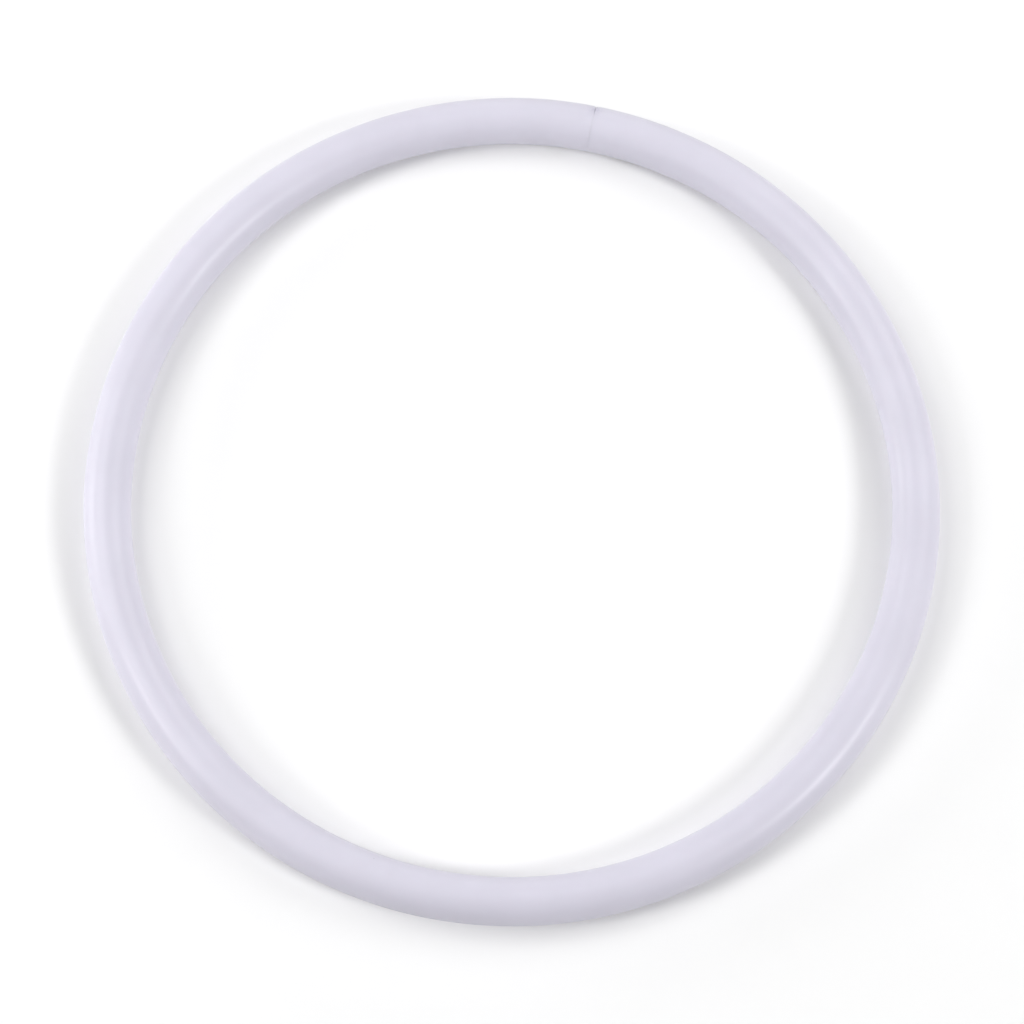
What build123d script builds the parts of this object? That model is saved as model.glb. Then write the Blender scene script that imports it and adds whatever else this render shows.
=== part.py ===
"""Small rhythmic hoop: one plastic tube bent into a ring and joined at its ends.

The ends butt together. A plug moulded to the ring's curve sits in the bore and carries the tube across the seam, and
one wire staple on each side of the seam pins the tube to it. The staples go in low on the inside of the ring, where
neither the hand nor the floor touches them.

Millimetres. The ring lies in the XY plane with its centre at the origin, +Z is the ring's axis and the seam is on +Y.
"""

from build123d import *
from math import degrees, isclose
import os

# Ring and tube
hoop_diameter = 360.0  # across the outer rim
tube_diameter = 20.0
tube_wall = 2.0

# Butt seam: the bent tube's ends bear on each other on the inside of the ring and gape on the outside
seam_gap = 0.02  # where they bear on each other
seam_gape = 0.35  # at the outer rim
gape_depth = 7.0  # from the outer rim inwards
seam_overrun = 1.0  # of the cut past the tube, each way

# Joint plug
plug_length = 64.0  # along the ring's centre line
plug_clearance = 0.30  # all round, between the plug's body and the bore
plug_core = 7.0  # diameter of the hole along the plug
plug_lead_in = 1.2
core_break = 0.5

# Grip ribs round the plug, one row between and on each side of every staple's legs
rib_clearance = 0.03  # all round, between a rib and the bore
rib_width = 1.6
rib_break = 0.15

# Wire staples
staple_wire = 1.2
staple_crown = 10.0  # between the middles of the legs
staple_leg = 6.0  # from the crown's middle line to the tip
staple_bend = 1.2
staple_tip = 0.3
staple_proud = 0.5  # how far the crown stands out of the tube
staple_clearance = 0.02  # all round, between the wire and the plastic
staple_offset = 15.0  # from the seam to the staple's middle, along the ring's centre line
staple_roll = 45.0  # from the ring's plane down to the staple, round the tube's centre line

# Worked out from the sizes above
tube_radius = tube_diameter / 2
ring_radius = hoop_diameter / 2 - tube_radius  # to the tube's centre line
bore_radius = tube_radius - tube_wall
plug_radius = bore_radius - plug_clearance
rib_radius = bore_radius - rib_clearance
inner_rim = ring_radius - tube_radius
outer_rim = ring_radius + tube_radius
crown_height = tube_radius + staple_proud - staple_wire / 2  # from the tube's centre line to the crown's middle line
seam_angle = 90.0  # of the seam round the ring, from +X


def ring_angle(arc):
    """Angle at the ring's centre, in degrees, of a length along the tube's centre line."""
    return degrees(arc / ring_radius)


def section(angle):
    """Plane that cuts the tube square at that ring angle, centred on the tube: x points outwards and y up."""
    across = Plane.XZ.rotated((0, 0, angle))
    return Plane(across.from_local_coords((ring_radius, 0, 0)), x_dir=across.x_dir, z_dir=across.z_dir)


def rings_of(part, radius):
    """The part's circular edges of that radius."""
    return part.edges().filter_by(lambda edge: edge.geom_type == GeomType.CIRCLE and isclose(edge.radius, radius))


def bent_wire(angle, clearance=0.0):
    """Staple at that ring angle, its legs pointing at the tube's centre line, with clearance all round if asked."""
    along = section(angle)
    into_tube = along.x_dir.rotate(Axis(along.origin, along.z_dir), staple_roll)
    side = Plane(along.origin, x_dir=along.z_dir, z_dir=along.z_dir.cross(into_tube))
    half_crown = staple_crown / 2
    tip_height = crown_height - staple_leg - clearance
    with BuildPart() as wire:
        with BuildLine(side) as bend_line:
            FilletPolyline(
                (-half_crown, -tip_height),
                (-half_crown, -crown_height),
                (half_crown, -crown_height),
                (half_crown, -tip_height),
                radius=staple_bend,
            )
        with BuildSketch(Plane(bend_line.line @ 0, z_dir=bend_line.line % 0)):
            Circle(staple_wire / 2 + clearance)
        sweep(path=bend_line.line)
    return wire


os.makedirs("parts", exist_ok=True)

staple_angles = {
    "seam_staple_left": seam_angle + ring_angle(staple_offset),
    "seam_staple_right": seam_angle - ring_angle(staple_offset),
}
staple_holes = [bent_wire(angle, staple_clearance) for angle in staple_angles.values()]

# Tube: the full ring, opened at the seam and punched by the staples
gape_growth = (seam_gape - seam_gap) / gape_depth
cut_gape = seam_gape + gape_growth * seam_overrun
with BuildPart() as hoop_tube:
    with BuildSketch(section(0)):
        Circle(tube_radius)
        Circle(bore_radius, mode=Mode.SUBTRACT)
    revolve(axis=Axis.Z)
    with BuildSketch():
        with BuildLine():
            Polyline(
                (-seam_gap / 2, inner_rim - seam_overrun),
                (seam_gap / 2, inner_rim - seam_overrun),
                (seam_gap / 2, outer_rim - gape_depth),
                (cut_gape / 2, outer_rim + seam_overrun),
                (-cut_gape / 2, outer_rim + seam_overrun),
                (-seam_gap / 2, outer_rim - gape_depth),
                close=True,
            )
        make_face()
    extrude(amount=tube_radius + seam_overrun, both=True, mode=Mode.SUBTRACT)
    for hole in staple_holes:
        add(hole.part, mode=Mode.SUBTRACT)
hoop_tube.part.label = "hoop_tube"
export_step(hoop_tube.part, "parts/hoop_tube.step")

# Plug: a cored rod of the ring's own curve, with grip ribs
plug_angle = ring_angle(plug_length)
rib_angle = ring_angle(rib_width)
rib_offsets = [staple_offset + place * staple_crown for place in (-1, 0, 1)]
with BuildPart() as joint_plug:
    with BuildSketch(section(seam_angle - plug_angle / 2)):
        Circle(plug_radius)
    revolve(axis=Axis.Z, revolution_arc=plug_angle)
    chamfer(rings_of(joint_plug, plug_radius), length=plug_lead_in)
    for offset in rib_offsets:
        for side in (-1, 1):
            middle = seam_angle + side * ring_angle(offset)
            with BuildSketch(section(middle - rib_angle / 2)):
                Circle(rib_radius)
            revolve(axis=Axis.Z, revolution_arc=rib_angle)
    fillet(rings_of(joint_plug, rib_radius), radius=rib_break)
    with BuildSketch(section(seam_angle - plug_angle / 2)):
        Circle(plug_core / 2)
    revolve(axis=Axis.Z, revolution_arc=plug_angle, mode=Mode.SUBTRACT)
    chamfer(rings_of(joint_plug, plug_core / 2), length=core_break)
    for hole in staple_holes:
        add(hole.part, mode=Mode.SUBTRACT)
joint_plug.part.label = "joint_plug"
export_step(joint_plug.part, "parts/joint_plug.step")

# Staples: one node for each
for name, angle in staple_angles.items():
    seam_staple = bent_wire(angle)
    tips = seam_staple.faces().filter_by(GeomType.PLANE)
    with seam_staple:
        chamfer(tips.edges(), length=staple_tip)
    seam_staple.part.label = name
    export_step(seam_staple.part, f"parts/{name}.step")
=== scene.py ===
"""Looks of a small rhythmic hoop: a satin plastic tube bent into a ring, its butt seam and its fittings.

Metres. The ring lies in the XY plane with its centre at the origin, its axis on +Z and its seam on +Y. A
place on the tube is said as if the tube were still straight: its run, which is the length along the centre
line from the seam, and its turn, which is the angle round the section from the outer rim, upwards first.
"""

import math

import bmesh
import bpy
from bpy.props import FloatProperty, FloatVectorProperty, IntProperty, PointerProperty
from mathutils import Matrix, Vector, noise


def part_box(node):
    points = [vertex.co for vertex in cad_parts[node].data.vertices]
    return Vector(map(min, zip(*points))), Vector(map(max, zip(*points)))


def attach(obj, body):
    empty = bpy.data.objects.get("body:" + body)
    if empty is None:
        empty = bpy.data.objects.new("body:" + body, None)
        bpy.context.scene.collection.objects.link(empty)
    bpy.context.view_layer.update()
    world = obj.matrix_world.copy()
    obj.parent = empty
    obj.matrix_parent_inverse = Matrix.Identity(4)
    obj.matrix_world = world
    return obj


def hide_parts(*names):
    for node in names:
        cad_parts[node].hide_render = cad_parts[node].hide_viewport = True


bl_info = {
    "name": "Rhythmic Hoop",
    "version": (1, 0, 0),
    "blender": (4, 5, 0),
    "location": "3D View > Sidebar > Hoop",
    "description": "Builds a bent-tube hoop with its seam, its fittings and a small studio round it",
    "category": "Add Mesh",
}

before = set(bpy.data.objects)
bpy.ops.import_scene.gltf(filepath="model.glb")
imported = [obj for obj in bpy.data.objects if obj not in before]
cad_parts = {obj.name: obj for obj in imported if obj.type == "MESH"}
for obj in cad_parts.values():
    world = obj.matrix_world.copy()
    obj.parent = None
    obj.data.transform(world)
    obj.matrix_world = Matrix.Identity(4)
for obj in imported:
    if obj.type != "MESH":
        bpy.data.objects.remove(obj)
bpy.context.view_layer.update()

BODY = "root"
STAPLES = ("seam_staple_left", "seam_staple_right")
STRAIGHT = "straight_tube"  # the attribute that holds each point's place on the straight tube
SEAM_SHADE_ATTRIBUTE = "seam_shade_and_dullness"  # the attribute that says how much painted shade, and how much extra roughness, the seam's outer shoulder gets there
BAKE_MAP = "OFBake"

# How the tube's mesh is laid out
LIP_FACES = 4  # round each edge of the mouths
SEAM_BLEND = 0.006  # over this run the grid's lines straighten from the seam's shape
SHARP_ANGLE = math.radians(35)
WELD = 1e-6

# How the tube's bake map is laid out
BAKE_STRIPS = 4
BAKE_PAD = 0.004
BORE_SHARE = 0.08  # of the map's height

# How the wall wanders round the ring, in the noise's own space
WANDER_LOOP = 4.0
WANDER_UP = 1.3
WANDER_OUT = 0.7
WANDER_SCALE = 1.7

SEAM_SHADE_LENGTHENED = 1.5  # the painted shade mark is longer round the section than along the tube
# Painted shade: the darker colour laid on the seam's sunk outer shoulder
SEAM_SHADE_COLOUR = (0.50, 0.48, 0.60)
SCRAPED_ZINC = (0.78, 0.78, 0.77)

FLOOR_SEGMENTS = 128
SENSOR_WIDTH = 36.0

# Sizes that the frame holds
tube_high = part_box("hoop_tube")[1]
plug_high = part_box("joint_plug")[1]
OUTER_RIM = tube_high.x
TUBE_RADIUS = tube_high.z
RING_RADIUS = OUTER_RIM - TUBE_RADIUS
RIB_CLEARANCE = 0.00003  # between the plug's ribs and the bore
BORE_RADIUS = plug_high.z + RIB_CLEARANCE
FLOOR_HEIGHT = -TUBE_RADIUS


# --------------------------------------------------------------------------------------------------
# Settings


class HoopTubeSettings(bpy.types.PropertyGroup):
    """Sizes and colours of the bent tube."""

    outer_radius: FloatProperty(
        name="Outer radius",
        description="From the ring's axis to its outer rim",
        default=OUTER_RIM,
        precision=5,
        unit="LENGTH",
    )
    tube_radius: FloatProperty(
        name="Tube radius",
        description="Outside radius of the tube",
        default=TUBE_RADIUS,
        precision=5,
        unit="LENGTH",
    )
    bore_radius: FloatProperty(
        name="Bore radius",
        description="Inside radius of the tube",
        default=BORE_RADIUS,
        precision=5,
        unit="LENGTH",
    )
    seam_gap: FloatProperty(
        name="Seam gap",
        description="Between the ends where they bear on each other",
        default=0.00002,
        precision=6,
        unit="LENGTH",
    )
    seam_gape: FloatProperty(
        name="Seam gape",
        description="Between the ends at the outer rim",
        default=0.00035,
        precision=6,
        unit="LENGTH",
    )
    gape_depth: FloatProperty(
        name="Gape depth",
        description="How far in from the outer rim the ends stand apart",
        default=0.007,
        precision=5,
        unit="LENGTH",
    )
    lip: FloatProperty(
        name="Lip",
        description="Rounding of the sawn ends where they bear on each other",
        default=0.00003,
        precision=6,
        unit="LENGTH",
    )
    shoulder_lip: FloatProperty(
        name="Shoulder lip",
        description="Rounding of the sawn ends at the outer rim, where the saw came out",
        default=0.00045,
        precision=6,
        unit="LENGTH",
    )
    sink_depth: FloatProperty(
        name="Sink depth",
        description="How far the outer shoulder sinks towards the seam",
        default=0.00022,
        precision=6,
        unit="LENGTH",
    )
    sink_reach: FloatProperty(
        name="Sink reach",
        description="How far from the seam the shoulder starts to sink",
        default=0.0024,
        precision=5,
        unit="LENGTH",
    )
    # Painted shade: these two set how far the darker, rougher patch on the seam's sunk outer shoulder
    # reaches, and where it lies round the section
    seam_shade_reach: FloatProperty(
        name="Seam shade reach",
        description="How far the dull mark on the seam's outer shoulder reaches to either side",
        default=0.0022,
        precision=5,
        unit="LENGTH",
    )
    seam_shade_turn: FloatProperty(
        name="Seam shade turn",
        description="Where the dull mark lies round the section, from the outer rim upwards",
        default=math.radians(50.0),
        unit="ROTATION",
    )
    waviness: FloatProperty(
        name="Waviness",
        description="How far the bent wall wanders from a true ring",
        default=0.00003,
        precision=6,
        unit="LENGTH",
    )
    sides: IntProperty(name="Sides", description="Faces round the section", default=96, min=12)
    colour: FloatVectorProperty(
        name="Colour",
        description="Lavender white of the plastic",
        subtype="COLOR",
        size=3,
        min=0.0,
        max=1.0,
        default=(0.674, 0.655, 0.751),
    )


class SeamFittingsSettings(bpy.types.PropertyGroup):
    """Sizes and colours of the plug and the staples, and of the marks that they leave."""

    dimple_depth: FloatProperty(
        name="Dimple depth",
        description="How far a staple's crown pulls the tube's wall in",
        default=0.00018,
        precision=6,
        unit="LENGTH",
    )
    dimple_reach: FloatProperty(
        name="Dimple reach",
        description="How far from the crown the wall is pulled in",
        default=0.0014,
        precision=5,
        unit="LENGTH",
    )
    punch_clearance: FloatProperty(
        name="Punch clearance",
        description="Between the staple's wire and the plastic round it",
        default=0.00002,
        precision=6,
        unit="LENGTH",
    )
    plug_colour: FloatVectorProperty(
        name="Plug colour",
        description="Undyed plastic of the plug",
        subtype="COLOR",
        size=3,
        min=0.0,
        max=1.0,
        default=(0.68, 0.68, 0.66),
    )
    steel_colour: FloatVectorProperty(
        name="Steel colour",
        description="Galvanised wire of the staples",
        subtype="COLOR",
        size=3,
        min=0.0,
        max=1.0,
        default=(0.56, 0.56, 0.55),
    )


class StudioSettings(bpy.types.PropertyGroup):
    """Floor, lights and camera."""

    floor_half: FloatProperty(
        name="Floor half width",
        description="From the middle of the floor to its edge",
        default=9.0,
        unit="LENGTH",
    )
    floor_colour: FloatVectorProperty(
        name="Floor colour",
        description="White paint of the floor",
        subtype="COLOR",
        size=3,
        min=0.0,
        max=1.0,
        default=(0.93, 0.93, 0.93),
    )
    room_light: FloatProperty(
        name="Room light",
        description="Strength of the white room's own light, from all sides",
        default=0.10,
        min=0.0,
    )
    wall_light: FloatProperty(
        name="Wall light",
        description="How bright the room's wall looks past the floor's edge",
        default=0.95,
        min=0.0,
    )
    azimuth: FloatProperty(
        name="Camera azimuth",
        description="Round the hoop, from in front towards +X",
        default=math.radians(10.5),
        unit="ROTATION",
    )
    elevation: FloatProperty(
        name="Camera elevation",
        description="Above the floor",
        default=math.radians(74.71),
        unit="ROTATION",
    )
    roll: FloatProperty(
        name="Camera roll",
        description="Turn of the camera about its own line of sight",
        default=math.radians(1.31),
        unit="ROTATION",
    )
    distance: FloatProperty(
        name="Camera distance",
        description="From the hoop's centre to the camera",
        default=1.3668,
        unit="LENGTH",
    )
    aim_drop: FloatProperty(
        name="Aim drop",
        description="How far below the hoop's centre the camera aims",
        default=0.00555,
        precision=5,
        unit="LENGTH",
    )
    lens: FloatProperty(
        name="Lens",
        description="Focal length in millimetres on a 36 mm wide sensor",
        default=114.25,
        min=1.0,
        unit="CAMERA",
    )


# --------------------------------------------------------------------------------------------------
# Shader helpers


def join(tree, start, end):
    """Links two sockets."""
    tree.links.new(start, end)


def stepped(tree, operation, first, second):
    """Math node on two values, each a socket or a number."""
    made = tree.nodes.new("ShaderNodeMath")
    made.operation = operation
    for place, value in enumerate((first, second)):
        if isinstance(value, bpy.types.NodeSocket):
            join(tree, value, made.inputs[place])
        else:
            made.inputs[place].default_value = value
    return made.outputs[0]


def eased(tree, value, low, high, to_low=0.0, to_high=1.0):
    """Value carried smoothly from one range to another."""
    made = tree.nodes.new("ShaderNodeMapRange")
    made.interpolation_type = "SMOOTHSTEP"
    for name, number in (("From Min", low), ("From Max", high), ("To Min", to_low), ("To Max", to_high)):
        made.inputs[name].default_value = number
    join(tree, value, made.inputs["Value"])
    return made.outputs["Result"]


def stretched(tree, vector, scale):
    """Vector with each of its parts multiplied."""
    made = tree.nodes.new("ShaderNodeVectorMath")
    made.operation = "MULTIPLY"
    made.inputs[1].default_value = scale
    join(tree, vector, made.inputs[0])
    return made.outputs["Vector"]


def noise_at(tree, vector, scale, detail=2.0, roughness=0.5):
    """Noise texture's value, from 0 to 1."""
    made = tree.nodes.new("ShaderNodeTexNoise")
    made.inputs["Scale"].default_value = scale
    made.inputs["Detail"].default_value = detail
    made.inputs["Roughness"].default_value = roughness
    join(tree, vector, made.inputs["Vector"])
    return made.outputs["Fac"]


def blended(tree, share, first, second):
    """Colour between two colours, each a socket or three numbers."""
    made = tree.nodes.new("ShaderNodeMix")
    made.data_type = "RGBA"
    join(tree, share, made.inputs["Factor"])
    colour_sockets = [socket for socket in made.inputs if socket.type == "RGBA"]
    for socket, colour in zip(colour_sockets, (first, second)):
        if isinstance(colour, bpy.types.NodeSocket):
            join(tree, colour, socket)
        else:
            socket.default_value = (*colour, 1.0)
    return next(socket for socket in made.outputs if socket.type == "RGBA")


def new_effect(name, numbers, outputs):
    """Empty shader node group with a Vector input, the named number inputs and the named outputs."""
    group = bpy.data.node_groups.new(name, "ShaderNodeTree")
    group.interface.new_socket(name="Vector", in_out="INPUT", socket_type="NodeSocketVector")
    for label, default in numbers.items():
        socket = group.interface.new_socket(name=label, in_out="INPUT", socket_type="NodeSocketFloat")
        socket.default_value = default
    for label in outputs:
        group.interface.new_socket(name=label, in_out="OUTPUT", socket_type="NodeSocketFloat")
    return group, group.nodes.new("NodeGroupInput"), group.nodes.new("NodeGroupOutput")


def satin_grain_effect():
    """Fine unevenness of a moulded or drawn surface: a height for its bumps and a slow drift of its tone."""
    group, given, result = new_effect("satin_grain", {"Grain Size": 0.0006}, ("Height", "Drift"))
    scaled = group.nodes.new("ShaderNodeVectorMath")
    scaled.operation = "SCALE"
    join(group, given.outputs["Vector"], scaled.inputs[0])
    join(group, stepped(group, "DIVIDE", 1.0, given.outputs["Grain Size"]), scaled.inputs["Scale"])
    peel = noise_at(group, scaled.outputs["Vector"], 1.0, detail=2.0, roughness=0.45)
    drift = noise_at(group, given.outputs["Vector"], 38.0, detail=3.0, roughness=0.55)
    join(group, peel, result.inputs["Height"])
    join(group, eased(group, drift, 0.3, 0.7), result.inputs["Drift"])
    return group


def handling_scuffs_effect():
    """Hair-thin scratches of use that run mostly one way, in patches."""
    group, given, result = new_effect("handling_scuffs", {"Amount": 0.5}, ("Mask",))
    lines = stretched(group, given.outputs["Vector"], (2600.0, 2600.0, 90.0))
    hairs = eased(group, noise_at(group, lines, 1.0, detail=1.0), 0.66, 0.74)
    patches = eased(group, noise_at(group, given.outputs["Vector"], 26.0, detail=2.0), 0.48, 0.66)
    worn = stepped(group, "MULTIPLY", hairs, patches)
    join(group, stepped(group, "MULTIPLY", worn, given.outputs["Amount"]), result.inputs["Mask"])
    return group


def specks_effect():
    """Sparse round specks, as of dust or grit."""
    group, given, result = new_effect("specks", {"Spacing": 0.02, "Size": 0.0004}, ("Mask",))
    cells = group.nodes.new("ShaderNodeTexVoronoi")
    cells.inputs["Randomness"].default_value = 1.0
    join(group, given.outputs["Vector"], cells.inputs["Vector"])
    join(group, stepped(group, "DIVIDE", 1.0, given.outputs["Spacing"]), cells.inputs["Scale"])
    away = stepped(group, "MULTIPLY", cells.outputs["Distance"], given.outputs["Spacing"])
    from_edge = stepped(group, "DIVIDE", away, given.outputs["Size"])
    join(group, eased(group, from_edge, 0.4, 1.0, 1.0, 0.0), result.inputs["Mask"])
    return group


def effect(name):
    """The shared node group of that name, built when it is first asked for."""
    builders = {
        "satin_grain": satin_grain_effect,
        "handling_scuffs": handling_scuffs_effect,
        "specks": specks_effect,
    }
    return bpy.data.node_groups.get(name) or builders[name]()


def placed(tree, name, vector, **numbers):
    """Shared effect put into a material, with its vector linked and its numbers set."""
    made = tree.nodes.new("ShaderNodeGroup")
    made.node_tree = effect(name)
    join(tree, vector, made.inputs["Vector"])
    for label, value in numbers.items():
        made.inputs[label.replace("_", " ")].default_value = value
    return made


def bare_material(name):
    """New node material, its tree and its Principled shader."""
    material = bpy.data.materials.new(name)
    material.use_nodes = True
    return material, material.node_tree, material.node_tree.nodes["Principled BSDF"]


def add_bump(tree, shader, height, distance):
    """Feeds a height through a bump node into the shader's normal."""
    bump = tree.nodes.new("ShaderNodeBump")
    bump.inputs["Distance"].default_value = distance
    join(tree, height, bump.inputs["Height"])
    join(tree, bump.outputs["Normal"], shader.inputs["Normal"])


# --------------------------------------------------------------------------------------------------
# Materials


def satin_tube_plastic(settings):
    """Extruded satin plastic: die lines along the tube, a faint drift of tone, scuffs, a few specks, and
    painted shade with extra roughness on the seam's sunk outer shoulder.
    """
    material, tree, shader = bare_material("satin_tube_plastic")
    place = tree.nodes.new("ShaderNodeAttribute")
    place.attribute_name = STRAIGHT
    vector = place.outputs["Vector"]
    grain = placed(tree, "satin_grain", vector, Grain_Size=0.0009)
    scuffs = placed(tree, "handling_scuffs", vector, Amount=0.5)
    grit = placed(tree, "specks", vector, Spacing=0.021, Size=0.00045)
    # Painted shade: the seam's sunk outer shoulder is painted darker here, in blotches, and is also made
    # rougher
    seam_shade_mask = tree.nodes.new("ShaderNodeAttribute")
    seam_shade_mask.attribute_name = SEAM_SHADE_ATTRIBUTE
    blotches = eased(tree, noise_at(tree, vector, 700.0, detail=2.0), 0.35, 0.6, 0.35, 1.0)
    shade_and_dullness = stepped(tree, "MULTIPLY", seam_shade_mask.outputs["Fac"], blotches)

    colour = Vector(settings.colour)
    toned = blended(tree, grain.outputs["Drift"], colour, colour * 0.965)
    # Painted shade laid over the plastic's colour at the seam's outer shoulder
    with_seam_shade = blended(tree, stepped(tree, "MULTIPLY", shade_and_dullness, 0.8), toned, SEAM_SHADE_COLOUR)
    speck_share = stepped(tree, "MULTIPLY", grit.outputs["Mask"], 0.35)
    join(tree, blended(tree, speck_share, with_seam_shade, colour * 0.45), shader.inputs["Base Color"])

    rough = eased(tree, grain.outputs["Drift"], 0.0, 1.0, 0.36, 0.41)
    scuffed = stepped(tree, "MULTIPLY", scuffs.outputs["Mask"], 0.12)
    worn = stepped(tree, "ADD", scuffed, stepped(tree, "MULTIPLY", shade_and_dullness, 0.15))
    join(tree, stepped(tree, "ADD", rough, worn), shader.inputs["Roughness"])

    die_lines = noise_at(tree, stretched(tree, vector, (900.0, 900.0, 5.0)), 1.0, detail=2.0)
    lined = stepped(tree, "MULTIPLY", die_lines, 0.6)
    cut = stepped(tree, "MULTIPLY", scuffs.outputs["Mask"], -0.5)
    height = stepped(tree, "ADD", stepped(tree, "ADD", grain.outputs["Height"], lined), cut)
    add_bump(tree, shader, height, 0.000012)

    shader.inputs["IOR"].default_value = 1.5
    shader.inputs["Specular IOR Level"].default_value = 0.4
    shader.inputs["Subsurface Weight"].default_value = 0.12
    shader.inputs["Subsurface Radius"].default_value = (0.0030, 0.0024, 0.0026)
    shader.inputs["Subsurface Scale"].default_value = 1.0
    return material


def moulded_plug_plastic(settings):
    """Matte undyed plastic of the inner plug."""
    material, tree, shader = bare_material("moulded_plug_plastic")
    vector = tree.nodes.new("ShaderNodeTexCoord").outputs["Object"]
    grain = placed(tree, "satin_grain", vector, Grain_Size=0.0004)
    scuffs = placed(tree, "handling_scuffs", vector, Amount=0.8)
    colour = Vector(settings.plug_colour)
    toned = blended(tree, grain.outputs["Drift"], colour, colour * 0.93)
    join(tree, blended(tree, scuffs.outputs["Mask"], toned, colour * 1.08), shader.inputs["Base Color"])
    join(tree, eased(tree, grain.outputs["Height"], 0.2, 0.8, 0.52, 0.64), shader.inputs["Roughness"])
    add_bump(tree, shader, grain.outputs["Height"], 0.00002)
    return material


def galvanised_wire(settings):
    """Drawn steel wire with a dull zinc coat, scraped bright along its length."""
    material, tree, shader = bare_material("galvanised_wire")
    vector = tree.nodes.new("ShaderNodeTexCoord").outputs["Object"]
    grain = placed(tree, "satin_grain", vector, Grain_Size=0.00025)
    scuffs = placed(tree, "handling_scuffs", stretched(tree, vector, (0.04, 1.0, 30.0)), Amount=1.0)
    colour = Vector(settings.steel_colour)
    spangle = blended(tree, grain.outputs["Height"], colour * 0.8, colour * 1.12)
    join(tree, blended(tree, scuffs.outputs["Mask"], spangle, SCRAPED_ZINC), shader.inputs["Base Color"])
    join(tree, eased(tree, grain.outputs["Height"], 0.25, 0.75, 0.30, 0.46), shader.inputs["Roughness"])
    shader.inputs["Metallic"].default_value = 1.0
    add_bump(tree, shader, grain.outputs["Height"], 0.000015)
    return material


def painted_floor(settings):
    """Matte white paint."""
    material, tree, shader = bare_material("painted_floor")
    vector = tree.nodes.new("ShaderNodeTexCoord").outputs["Object"]
    grain = placed(tree, "satin_grain", vector, Grain_Size=0.002)
    colour = Vector(settings.floor_colour)
    join(tree, blended(tree, grain.outputs["Drift"], colour, colour * 0.995), shader.inputs["Base Color"])
    join(tree, eased(tree, grain.outputs["Height"], 0.0, 1.0, 0.8, 0.9), shader.inputs["Roughness"])
    shader.inputs["Specular IOR Level"].default_value = 0.2
    return material


def refinish(name, material):
    """Puts a material in each slot of a CAD piece."""
    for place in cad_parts[name].material_slots:
        place.material = material


# --------------------------------------------------------------------------------------------------
# The bent tube


class StaplePlace:
    """Where a staple's crown lies on the straight tube, read from its box in the frame."""

    def __init__(self, name):
        low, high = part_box(name)
        middle = (low + high) / 2
        out = math.hypot(middle.x, middle.y)
        self.run = (math.atan2(middle.y, middle.x) - math.pi / 2) * RING_RADIUS
        self.turn = math.atan2(middle.z, out - RING_RADIUS)
        self.half_length = (high.x - low.x) / 2


def straight_distance(run, length):
    """Signed length from the seam, the short way round."""
    return run if run <= length / 2 else run - length


class TubeShape:
    """The tube's wall as a function of run and turn."""

    def __init__(self, tube, fittings):
        self.tube = tube
        self.fittings = fittings
        self.ring_radius = tube.outer_radius - tube.tube_radius
        self.length = 2 * math.pi * self.ring_radius
        self.gape_growth = (tube.seam_gape - tube.seam_gap) / tube.gape_depth
        self.staples = [StaplePlace(name) for name in STAPLES]

    def shoulder(self, turn):
        """How far a point is into the gaping part of the seam: 0 where the ends bear, 1 at the outer rim."""
        outward = self.tube.tube_radius * (1 - math.cos(turn))
        return max(0.0, 1 - outward / self.tube.gape_depth)

    def lip(self, turn):
        """Rounding of the mouth's edge there."""
        tube = self.tube
        return tube.lip + (tube.shoulder_lip - tube.lip) * self.shoulder(turn)

    def half_gap(self, radius, turn):
        """Run from the seam's middle to the tube's end face, at that radius from the centre line."""
        outward = radius * math.cos(turn)
        past = max(0.0, outward - (self.tube.tube_radius - self.tube.gape_depth))
        half = (self.tube.seam_gap + past * self.gape_growth) / 2
        return half * self.ring_radius / (self.ring_radius + outward)

    def sink(self, away, turn):
        """How far the shoulder sinks near the seam."""
        fade = math.exp(-((away / self.tube.sink_reach) ** 2))
        return self.tube.sink_depth * self.shoulder(turn) * fade

    def painted_seam_shade(self, away, turn):
        """How much painted shade, and extra roughness, the shoulder gets near the seam."""
        swing = (turn - self.tube.seam_shade_turn + math.pi) % (2 * math.pi) - math.pi
        across = swing * self.tube.tube_radius / SEAM_SHADE_LENGTHENED
        return math.exp(-((math.hypot(away, across) / self.tube.seam_shade_reach) ** 2))

    def dimples(self, away, turn):
        """How far the staples pull the wall in."""
        depth = 0.0
        for staple in self.staples:
            along = max(0.0, abs(away - staple.run) - staple.half_length)
            swing = (turn - staple.turn + math.pi) % (2 * math.pi) - math.pi
            across = swing * self.tube.tube_radius
            gap = math.hypot(along, across)
            depth += self.fittings.dimple_depth * math.exp(-((gap / self.fittings.dimple_reach) ** 2))
        return depth

    def outside(self, run, turn):
        """Radius of the outer wall at that place."""
        away = straight_distance(run, self.length)
        bend = run / self.ring_radius
        spot = Vector((math.cos(bend) * WANDER_LOOP, math.sin(bend) * WANDER_LOOP, 0.0))
        spot.z = WANDER_UP * math.sin(turn) + WANDER_OUT * math.cos(turn)
        wander = (noise.noise(spot * WANDER_SCALE) - 1) * self.tube.waviness
        return self.tube.tube_radius + wander - self.sink(away, turn) - self.dimples(away, turn)


def graded_steps(reach, finest, growth, coarsest):
    """Lengths from 0 to reach whose steps grow from finest to coarsest, scaled to end exactly there."""
    steps = [0.0]
    while steps[-1] < reach:
        steps.append(steps[-1] + min(coarsest, finest + growth * steps[-1]))
    return [step * reach / steps[-1] for step in steps]


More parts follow.
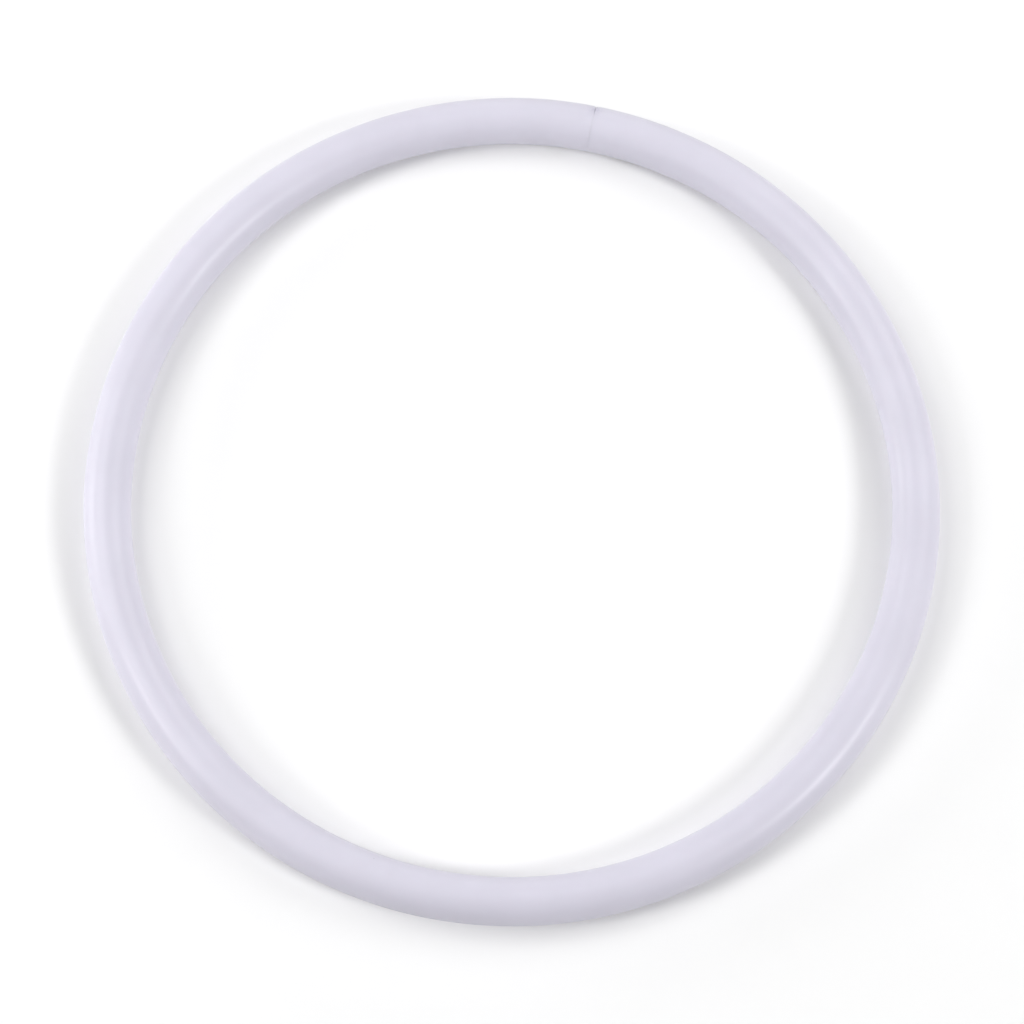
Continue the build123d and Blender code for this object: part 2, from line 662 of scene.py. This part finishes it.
def wall_loops(shape):
    """Loops of (run, radius, turn) that go along the outer wall, round the mouth and back along the bore."""
    tube = shape.tube
    length = shape.length
    turns = [2 * math.pi * side / tube.sides for side in range(tube.sides)]
    lip_angles = [math.pi / 2 * (1 - step / LIP_FACES) for step in range(LIP_FACES + 1)]

    def outer_loop(base, lip_angle, at_end):
        """One loop of the outer wall, or of the mouth's rounded lip when an angle is given."""
        loop = []
        for turn in turns:
            lip = shape.lip(turn)
            mouth = shape.half_gap(tube.tube_radius, turn)
            if lip_angle is None:
                run = base + (mouth + lip) * max(0.0, 1 - base / SEAM_BLEND)
                drop = 0.0
            else:
                run = mouth + lip * (1 - math.sin(lip_angle))
                drop = lip * (1 - math.cos(lip_angle))
            run = length - run if at_end else run
            loop.append((run, shape.outside(run, turn) - drop, turn))
        return loop

    def bore_loop(base, at_end):
        """One loop of the bore."""
        loop = []
        for turn in turns:
            mouth = shape.half_gap(tube.bore_radius, turn)
            run = base + mouth * max(0.0, 1 - base / SEAM_BLEND)
            loop.append((length - run if at_end else run, tube.bore_radius, turn))
        return loop

    outer_half = graded_steps(length / 2, finest=0.00025, growth=0.030, coarsest=0.0028)
    bore_half = graded_steps(length / 2, finest=0.0010, growth=0.030, coarsest=0.0060)
    loops = [outer_loop(0.0, angle, False) for angle in lip_angles]
    loops += [outer_loop(base, None, False) for base in outer_half[1:]]
    loops += [outer_loop(base, None, True) for base in reversed(outer_half[1:-1])]
    loops += [outer_loop(0.0, angle, True) for angle in reversed(lip_angles)]
    outer_count = len(loops)
    loops += [bore_loop(base, True) for base in bore_half]
    loops += [bore_loop(base, False) for base in reversed(bore_half[:-1])]
    return loops, outer_count


def ring_point(ring_radius, run, radius, turn):
    """Point of the bent tube for a place on the straight one."""
    bend = math.pi / 2 + run / ring_radius
    out = ring_radius + radius * math.cos(turn)
    return (out * math.cos(bend), out * math.sin(bend), radius * math.sin(turn))


def straight_place(ring_radius, point):
    """Run, radius and turn of a point of the bent tube."""
    bend = (math.atan2(point.y, point.x) - math.pi / 2) % (2 * math.pi)
    out = math.hypot(point.x, point.y) - ring_radius
    return bend * ring_radius, math.hypot(out, point.z), math.atan2(point.z, out)


def bake_place(run, turn, length, strip, inside):
    """Place in the bake map: the outer wall in stacked strips, and the bore in one thin strip below them."""
    if inside:
        height = BORE_SHARE
        across = run / length
        bottom = 0.0
    else:
        height = (1 - BORE_SHARE) / BAKE_STRIPS
        across = run / length * BAKE_STRIPS - strip
        bottom = BORE_SHARE + strip * height
    up = turn / (2 * math.pi)
    return BAKE_PAD + (1 - 2 * BAKE_PAD) * across, bottom + BAKE_PAD + (height - 2 * BAKE_PAD) * up


def tube_mesh(shape):
    """Closed mesh of the tube, with its bake map."""
    loops, outer_count = wall_loops(shape)
    sides = shape.tube.sides
    shell = bmesh.new()
    bake_map = shell.loops.layers.uv.new(BAKE_MAP)
    rows = [[shell.verts.new(ring_point(shape.ring_radius, *place)) for place in loop] for loop in loops]
    for number, row in enumerate(rows):
        following = (number + 1) % len(rows)
        inside = number >= outer_count - 1
        middle = loops[number][0][0]
        strip = min(BAKE_STRIPS - 1, int((middle + WELD) / shape.length * BAKE_STRIPS))
        for side in range(sides):
            corners = ((number, side), (following, side), (following, side + 1), (number, side + 1))
            face = shell.faces.new([rows[loop_number][count % sides] for loop_number, count in corners])
            for corner, (loop_number, count) in zip(face.loops, corners):
                run = loops[loop_number][count % sides][0]
                turn = 2 * math.pi * count / sides
                corner[bake_map].uv = bake_place(run, turn, shape.length, strip, inside)
    mesh = bpy.data.meshes.new("hoop_tube_satin")
    shell.to_mesh(mesh)
    shell.free()
    return mesh


def staple_punch(name, clearance):
    """Staple's own shape, grown all round, to cut its seat and holes with."""
    grown = bmesh.new()
    grown.from_mesh(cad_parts[name].data)
    bmesh.ops.remove_doubles(grown, verts=grown.verts, dist=WELD)
    bmesh.ops.recalc_face_normals(grown, faces=grown.faces)
    grown.normal_update()
    grown.verts.index_update()
    points = [corner.co + corner.normal * clearance for corner in grown.verts]
    mesh = bpy.data.meshes.new("staple_punch")
    mesh.from_pydata(points, [], [[corner.index for corner in face.verts] for face in grown.faces])
    grown.free()
    punch = bpy.data.objects.new("staple_punch", mesh)
    bpy.context.scene.collection.objects.link(punch)
    return punch


def cut_with(piece, tool):
    """Takes the tool's shape out of the piece, and removes the tool."""
    cut = piece.modifiers.new("punch", "BOOLEAN")
    cut.operation = "DIFFERENCE"
    cut.solver = "EXACT"
    cut.object = tool
    bpy.context.view_layer.update()
    evaluated = piece.evaluated_get(bpy.context.evaluated_depsgraph_get())
    made = bpy.data.meshes.new_from_object(evaluated)
    piece.modifiers.clear()
    worn_out = piece.data
    piece.data = made
    bpy.data.meshes.remove(worn_out)
    tool_mesh = tool.data
    bpy.data.objects.remove(tool)
    bpy.data.meshes.remove(tool_mesh)


def mark_places(mesh, shape):
    """Stores each point's place on the straight tube, and how much painted shade and extra roughness the
    seam's shoulder gets there.
    """
    mesh.attributes.new(STRAIGHT, "FLOAT_VECTOR", "POINT")
    mesh.attributes.new(SEAM_SHADE_ATTRIBUTE, "FLOAT", "POINT")
    straight = mesh.attributes[STRAIGHT].data
    seam_shade_mask = mesh.attributes[SEAM_SHADE_ATTRIBUTE].data
    for number, corner in enumerate(mesh.vertices):
        run, radius, turn = straight_place(shape.ring_radius, corner.co)
        straight[number].vector = (radius * math.cos(turn), radius * math.sin(turn), run)
        seam_shade_mask[number].value = shape.painted_seam_shade(straight_distance(run, shape.length), turn)


class HOOP_OT_build_tube(bpy.types.Operator):
    """Builds the bent tube with its seam, and punches it for the staples"""

    bl_idname = "hoop.build_tube"
    bl_label = "Build Tube"

    def execute(self, context):
        tube = context.scene.hoop_tube
        fittings = context.scene.hoop_fittings
        if tube.bore_radius >= tube.tube_radius:
            raise ValueError("the bore is wider than the tube")
        shape = TubeShape(tube, fittings)
        piece = bpy.data.objects.new("hoop_tube_satin", tube_mesh(shape))
        context.scene.collection.objects.link(piece)
        for name in STAPLES:
            cut_with(piece, staple_punch(name, fittings.punch_clearance))
        piece.data.name = "hoop_tube_satin"
        mark_places(piece.data, shape)
        piece.data.shade_smooth()
        piece.data.set_sharp_from_angle(angle=SHARP_ANGLE)
        piece.data.materials.clear()
        piece.data.materials.append(satin_tube_plastic(tube))
        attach(piece, BODY)
        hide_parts("hoop_tube")
        return {"FINISHED"}


# --------------------------------------------------------------------------------------------------
# The fittings inside and beside the seam


class HOOP_OT_finish_plug(bpy.types.Operator):
    """Gives the plug inside the tube its plastic"""

    bl_idname = "hoop.finish_plug"
    bl_label = "Finish Plug"

    def execute(self, context):
        refinish("joint_plug", moulded_plug_plastic(context.scene.hoop_fittings))
        return {"FINISHED"}


class HOOP_OT_finish_staples(bpy.types.Operator):
    """Gives the wire staples their steel"""

    bl_idname = "hoop.finish_staples"
    bl_label = "Finish Staples"

    def execute(self, context):
        steel = galvanised_wire(context.scene.hoop_fittings)
        for name in STAPLES:
            refinish(name, steel)
        return {"FINISHED"}


# --------------------------------------------------------------------------------------------------
# The studio

# Soft lights: name, azimuth from in front towards +X, elevation, distance, width, height, watts
SOFT_LIGHTS = (
    ("left_softbox", -65.0, 38.2, 5.0, 1.3, 1.3, 59.0),
    ("right_softbox", 75.7, 39.1, 5.0, 1.3, 1.3, 101.0),
    ("left_high_bank", -90.0, 58.0, 1.9, 1.4, 1.0, 13.3),
    ("left_low_bank", -90.0, 12.0, 1.7, 1.0, 0.7, 11.5),
    ("back_right_bank", 138.0, 45.0, 1.9, 1.3, 1.2, 12.7),
    ("right_low_bank", 90.0, 12.0, 1.7, 1.0, 0.7, 2.7),
    ("back_low_bank", 180.0, 14.0, 1.9, 1.6, 0.6, 4.9),
)


def direction_of(azimuth, elevation):
    """Unit vector of a direction, its azimuth counted from in front towards +X."""
    level = math.cos(elevation)
    return Vector((math.sin(azimuth) * level, -math.cos(azimuth) * level, math.sin(elevation)))


def add_soft_light(name, azimuth, elevation, distance, width, height, watts):
    """Rectangular light that faces the hoop's centre."""
    data = bpy.data.lights.new(name, "AREA")
    data.shape = "RECTANGLE"
    data.size = width
    data.size_y = height
    data.energy = watts
    light = bpy.data.objects.new(name, data)
    towards = direction_of(math.radians(azimuth), math.radians(elevation))
    light.location = towards * distance
    light.rotation_mode = "QUATERNION"
    light.rotation_quaternion = (-towards).to_track_quat("-Z", "Y")
    light.visible_camera = False
    bpy.context.scene.collection.objects.link(light)


def add_room_light(settings):
    """Even dim light from all sides, behind a paler wall for the camera to see past the floor's edge."""
    world = bpy.data.worlds.new("white_room")
    world.use_nodes = True
    tree = world.node_tree
    light = tree.nodes["Background"]
    light.inputs["Color"].default_value = (1.0, 1.0, 1.0, 1.0)
    light.inputs["Strength"].default_value = settings.room_light
    wall = tree.nodes.new("ShaderNodeBackground")
    wall.inputs["Color"].default_value = (1.0, 1.0, 1.0, 1.0)
    wall.inputs["Strength"].default_value = settings.wall_light
    seen = tree.nodes.new("ShaderNodeLightPath")
    shown = tree.nodes.new("ShaderNodeMixShader")
    join(tree, seen.outputs["Is Camera Ray"], shown.inputs["Fac"])
    join(tree, light.outputs["Background"], shown.inputs[1])
    join(tree, wall.outputs["Background"], shown.inputs[2])
    join(tree, shown.outputs["Shader"], tree.nodes["World Output"].inputs["Surface"])
    bpy.context.scene.world = world


def add_floor(settings):
    """Round pale floor that the hoop lies on."""
    disc = bmesh.new()
    bmesh.ops.create_circle(disc, cap_ends=True, radius=settings.floor_half, segments=FLOOR_SEGMENTS)
    bmesh.ops.translate(disc, verts=disc.verts, vec=(0.0, 0.0, FLOOR_HEIGHT))
    mesh = bpy.data.meshes.new("studio_floor")
    disc.to_mesh(mesh)
    disc.free()
    floor = bpy.data.objects.new("studio_floor", mesh)
    bpy.context.scene.collection.objects.link(floor)
    floor.data.materials.append(painted_floor(settings))


def add_camera(settings):
    """Camera above the hoop and a little in front of it."""
    data = bpy.data.cameras.new("studio_camera")
    data.sensor_width = SENSOR_WIDTH
    data.lens = settings.lens
    data.clip_start = 0.01
    data.clip_end = 50.0
    camera = bpy.data.objects.new("studio_camera", data)
    back = direction_of(settings.azimuth, settings.elevation)
    facing = (-back).to_track_quat("-Z", "Y") @ Matrix.Rotation(settings.roll, 3, "Z").to_quaternion()
    place = back * settings.distance
    aim = facing @ Vector((0.0, -settings.aim_drop, 0.0))
    tip = (aim - place).normalized()
    camera.location = place
    camera.rotation_mode = "QUATERNION"
    camera.rotation_quaternion = (facing @ Vector((0.0, 0.0, -1.0))).rotation_difference(tip) @ facing
    bpy.context.scene.collection.objects.link(camera)
    bpy.context.scene.camera = camera


class HOOP_OT_set_studio(bpy.types.Operator):
    """Lays the floor and sets the lights and the camera"""

    bl_idname = "hoop.set_studio"
    bl_label = "Set Studio"

    def execute(self, context):
        settings = context.scene.hoop_studio
        add_floor(settings)
        add_room_light(settings)
        for soft_light in SOFT_LIGHTS:
            add_soft_light(*soft_light)
        add_camera(settings)
        context.scene.view_settings.view_transform = "Standard"
        return {"FINISHED"}


# --------------------------------------------------------------------------------------------------
# Panel and registration


class HOOP_PT_sidebar(bpy.types.Panel):
    """Lists the hoop's settings and the operators that build it"""

    bl_idname = "HOOP_PT_sidebar"
    bl_label = "Rhythmic Hoop"
    bl_space_type = "VIEW_3D"
    bl_region_type = "UI"
    bl_category = "Hoop"

    def draw(self, context):
        scene = context.scene
        for title, settings in (
            ("Tube", scene.hoop_tube),
            ("Seam fittings", scene.hoop_fittings),
            ("Studio", scene.hoop_studio),
        ):
            box = self.layout.box()
            box.label(text=title)
            for name in settings.__annotations__:
                box.prop(settings, name)
        for operator in OPERATORS:
            self.layout.operator(operator.bl_idname)


OPERATORS = (HOOP_OT_build_tube, HOOP_OT_finish_plug, HOOP_OT_finish_staples, HOOP_OT_set_studio)
CLASSES = (HoopTubeSettings, SeamFittingsSettings, StudioSettings, *OPERATORS, HOOP_PT_sidebar)


def register():
    for item in CLASSES:
        bpy.utils.register_class(item)
    bpy.types.Scene.hoop_tube = PointerProperty(type=HoopTubeSettings)
    bpy.types.Scene.hoop_fittings = PointerProperty(type=SeamFittingsSettings)
    bpy.types.Scene.hoop_studio = PointerProperty(type=StudioSettings)


def unregister():
    del bpy.types.Scene.hoop_studio
    del bpy.types.Scene.hoop_fittings
    del bpy.types.Scene.hoop_tube
    for item in reversed(CLASSES):
        bpy.utils.unregister_class(item)


def main():
    """Builds everything in order."""
    register()
    bpy.ops.hoop.build_tube()
    bpy.ops.hoop.finish_plug()
    bpy.ops.hoop.finish_staples()
    bpy.ops.hoop.set_studio()


if __name__ == "__main__":
    main()
